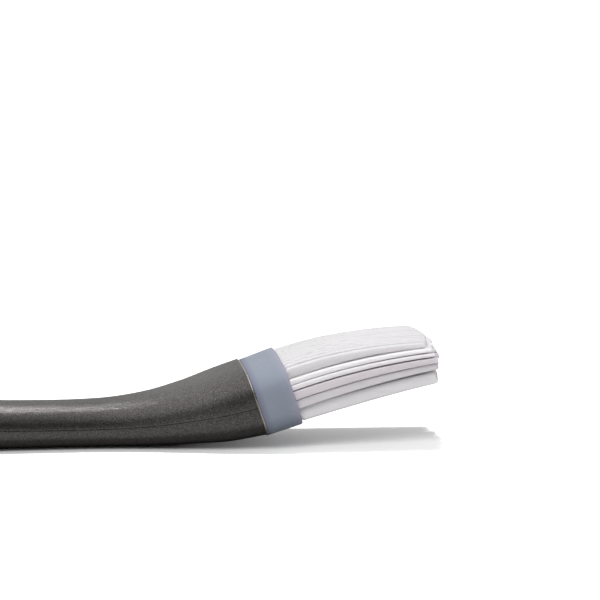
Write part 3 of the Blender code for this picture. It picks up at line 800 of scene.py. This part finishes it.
# Brightness of the mirrored backdrop, from the direction against its axis (0) to along it (1).
MIRRORED_BACKDROP = (
    (0.0, 0.03), (0.41, 0.03), (0.52, 0.11), (0.61, 0.27), (0.73, 0.49), (0.84, 0.56), (1.0, 0.56),
)  # fmt: skip
MIRRORED_SLOPE = 2.2  # the mirrored backdrop grows brighter towards the handle's end, from 1 in the middle
SLOPE_LIMITS = 0.3, 1.5
SUN_SIDE = Vector((-0.05, 0.15, 1))
OVERHEAD_SUN, FLOOR_SUN = (1.2, 12), (2.6, 2)  # strength, and spread in degrees
FRONT_OFFSET, FRONT_WATTS, FRONT_SIZE = Vector((-0.3, -0.75, 0.9)), 8.8, 0.6
SPOT_OFFSET, SPOT_WATTS, SPOT_RADIUS = Vector((0.02, 0.18, 0.3)), 1.1, 0.045
SPOT_CONE, SPOT_BLEND = math.radians(17), 0.8


def place_light(name, kind, location, toward_light, energy):
    """A light that shines back along a direction."""
    light = bpy.data.lights.new(name, kind)
    light.energy = energy
    obj = bpy.data.objects.new(name, light)
    obj.location = location
    obj.rotation_euler = toward_light.to_track_quat("Z", "Y").to_euler()
    bpy.context.scene.collection.objects.link(obj)
    return obj


def add_lights(floor):
    """Overhead suns, one for the floor alone, a front light, and a spot that shines on the grip's top."""
    for name, (energy, spread) in (("overhead", OVERHEAD_SUN), ("floor_sun", FLOOR_SUN)):
        sun = place_light(name, "SUN", (0, 0, 1), SUN_SIDE, energy)
        sun.data.angle = math.radians(spread)
        sun.visible_glossy = False
        if name == "floor_sun":
            sun.light_linking.receiver_collection = bpy.data.collections.new("lit_by_floor_sun")
            sun.light_linking.receiver_collection.objects.link(floor)
    front = place_light("front", "AREA", MOUTH + FRONT_OFFSET, FRONT_OFFSET, FRONT_WATTS)
    front.data.size = FRONT_SIZE
    front.visible_glossy = False
    spot = place_light("grip_spot", "SPOT", MOUTH + GRIP_MIDDLE + SPOT_OFFSET, SPOT_OFFSET, SPOT_WATTS)
    spot.data.spot_size, spot.data.spot_blend = SPOT_CONE, SPOT_BLEND
    spot.data.shadow_soft_size = SPOT_RADIUS
    spot.visible_diffuse = False


def make_world():
    """White to the camera, an even light on matt surfaces, and a bright backdrop in reflections."""
    world = bpy.data.worlds.new("studio")
    world.use_nodes = True
    bpy.context.scene.world = world
    tree = world.node_tree
    coords = tree.nodes.new("ShaderNodeTexCoord")
    toward = tree.nodes.new("ShaderNodeVectorMath")
    toward.operation = "DOT_PRODUCT"
    tree.links.new(coords.outputs["Generated"], toward.inputs[0])
    toward.inputs[1].default_value = BACKDROP_AXIS
    ramp = tree.nodes.new("ShaderNodeValToRGB")
    share = tree.nodes.new("ShaderNodeMapRange")
    share.inputs["From Min"].default_value = -1
    tree.links.new(toward.outputs["Value"], share.inputs["Value"])
    tree.links.new(share.outputs["Result"], ramp.inputs[0])
    while len(ramp.color_ramp.elements) < len(MIRRORED_BACKDROP):
        ramp.color_ramp.elements.new(0.5)
    for element, (position, value) in zip(ramp.color_ramp.elements, MIRRORED_BACKDROP):
        element.position = position
        element.color = (value, value, value, 1)

    def mix(factor, a, b):
        node = tree.nodes.new("ShaderNodeMix")
        node.data_type = "RGBA"
        tree.links.new(factor, node.inputs[0])
        for socket, value in ((node.inputs[6], a), (node.inputs[7], b)):
            if isinstance(value, bpy.types.NodeSocket):
                tree.links.new(value, socket)
            else:
                socket.default_value = (value, value, value, 1)
        return node.outputs[2]

    split = tree.nodes.new("ShaderNodeSeparateXYZ")
    tree.links.new(coords.outputs["Generated"], split.inputs[0])
    slope = tree.nodes.new("ShaderNodeMapRange")
    for socket, number in zip(slope.inputs, (0, -1, 1, 1 + MIRRORED_SLOPE, 1 - MIRRORED_SLOPE)):
        socket.default_value = number
    tree.links.new(split.outputs["X"], slope.inputs["Value"])
    limit = tree.nodes.new("ShaderNodeClamp")
    limit.inputs["Min"].default_value, limit.inputs["Max"].default_value = SLOPE_LIMITS
    tree.links.new(slope.outputs["Result"], limit.inputs["Value"])
    mirrored = tree.nodes.new("ShaderNodeVectorMath")
    mirrored.operation = "SCALE"
    tree.links.new(ramp.outputs["Color"], mirrored.inputs[0])
    tree.links.new(limit.outputs["Result"], mirrored.inputs["Scale"])

    path = tree.nodes.new("ShaderNodeLightPath")
    seen = mix(path.outputs["Is Glossy Ray"], SKY_LIGHT, mirrored.outputs[0])
    seen = mix(path.outputs["Is Camera Ray"], seen, 1)
    tree.links.new(seen, tree.nodes["Background"].inputs["Color"])


def make_floor():
    bm = bmesh.new()
    bmesh.ops.create_grid(bm, x_segments=1, y_segments=1, size=8)
    floor = object_from("floor", bm, floor_white())
    floor.location.z = -0.02 * MM
    return floor


VIEW_AZIMUTH, VIEW_ELEVATION = -7, 9
PIXELS_PER_MM, FRAME_PIXELS = 3.16, 600
LENS_MM, SENSOR_MM = 200, 36
AIM_RIGHT, AIM_UP = 15.66 * MM, 30.55 * MM  # from the mouth to the middle of the picture


def make_camera():
    """A long lens a little above the brush, turned slightly towards the handle's end."""
    azimuth, elevation = math.radians(VIEW_AZIMUTH), math.radians(VIEW_ELEVATION)
    level = Vector((math.sin(azimuth), -math.cos(azimuth), 0))
    outward = level * math.cos(elevation) + Vector((0, 0, math.sin(elevation)))
    rotation = outward.to_track_quat("Z", "Y")
    right, up = rotation @ Vector((1, 0, 0)), rotation @ Vector((0, 1, 0))
    target = MOUTH + right * AIM_RIGHT + up * AIM_UP
    distance = FRAME_PIXELS * LENS_MM / (SENSOR_MM * PIXELS_PER_MM) * MM
    camera = bpy.data.cameras.new("camera")
    camera.lens, camera.sensor_width = LENS_MM, SENSOR_MM
    obj = bpy.data.objects.new("camera", camera)
    obj.location = target + outward * distance
    obj.rotation_euler = rotation.to_euler()
    bpy.context.scene.collection.objects.link(obj)
    bpy.context.scene.camera = obj


def dress(node, mat):
    """Gives a CAD node that stays in view its material."""
    obj = frame["nodes"][node]
    obj.data.materials.clear()
    obj.data.materials.append(mat)


def main():
    paint, metal, frosted = metallic_paint(), bright_metal(), frosted_plastic()
    moulded = moulded_plastic()
    for piece, node, slot in (
        (make_shell("upper_shell", 1, paint), "handle_upper_shell", "handle_paint"),
        (make_shell("lower_shell", -1, paint), "handle_lower_shell", "handle_paint"),
        (make_eyelet(metal), "hanging_eyelet", "bright_steel"),
        (make_trim_ring(metal), "mouth_trim_ring", "bright_steel"),
        (make_collar(frosted), "collar", "collar_plastic"),
    ):
        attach(piece, "handle")
        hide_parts(node)
    rng = random.Random(7)
    for comb in COMBS:
        make_comb(comb, silicone(comb.name + "_silicone", SILICONE_TONES_AND_PAINTED_LIGHT[comb.name]), rng)
    dress("head_core", moulded)
    for side in ("left", "right"):
        dress("clamp_pin_" + side, metal)
        dress("tang_screw_" + side, metal)
    make_world()
    add_lights(make_floor())
    make_camera()
    bpy.context.scene.view_settings.view_transform = "Standard"


main()
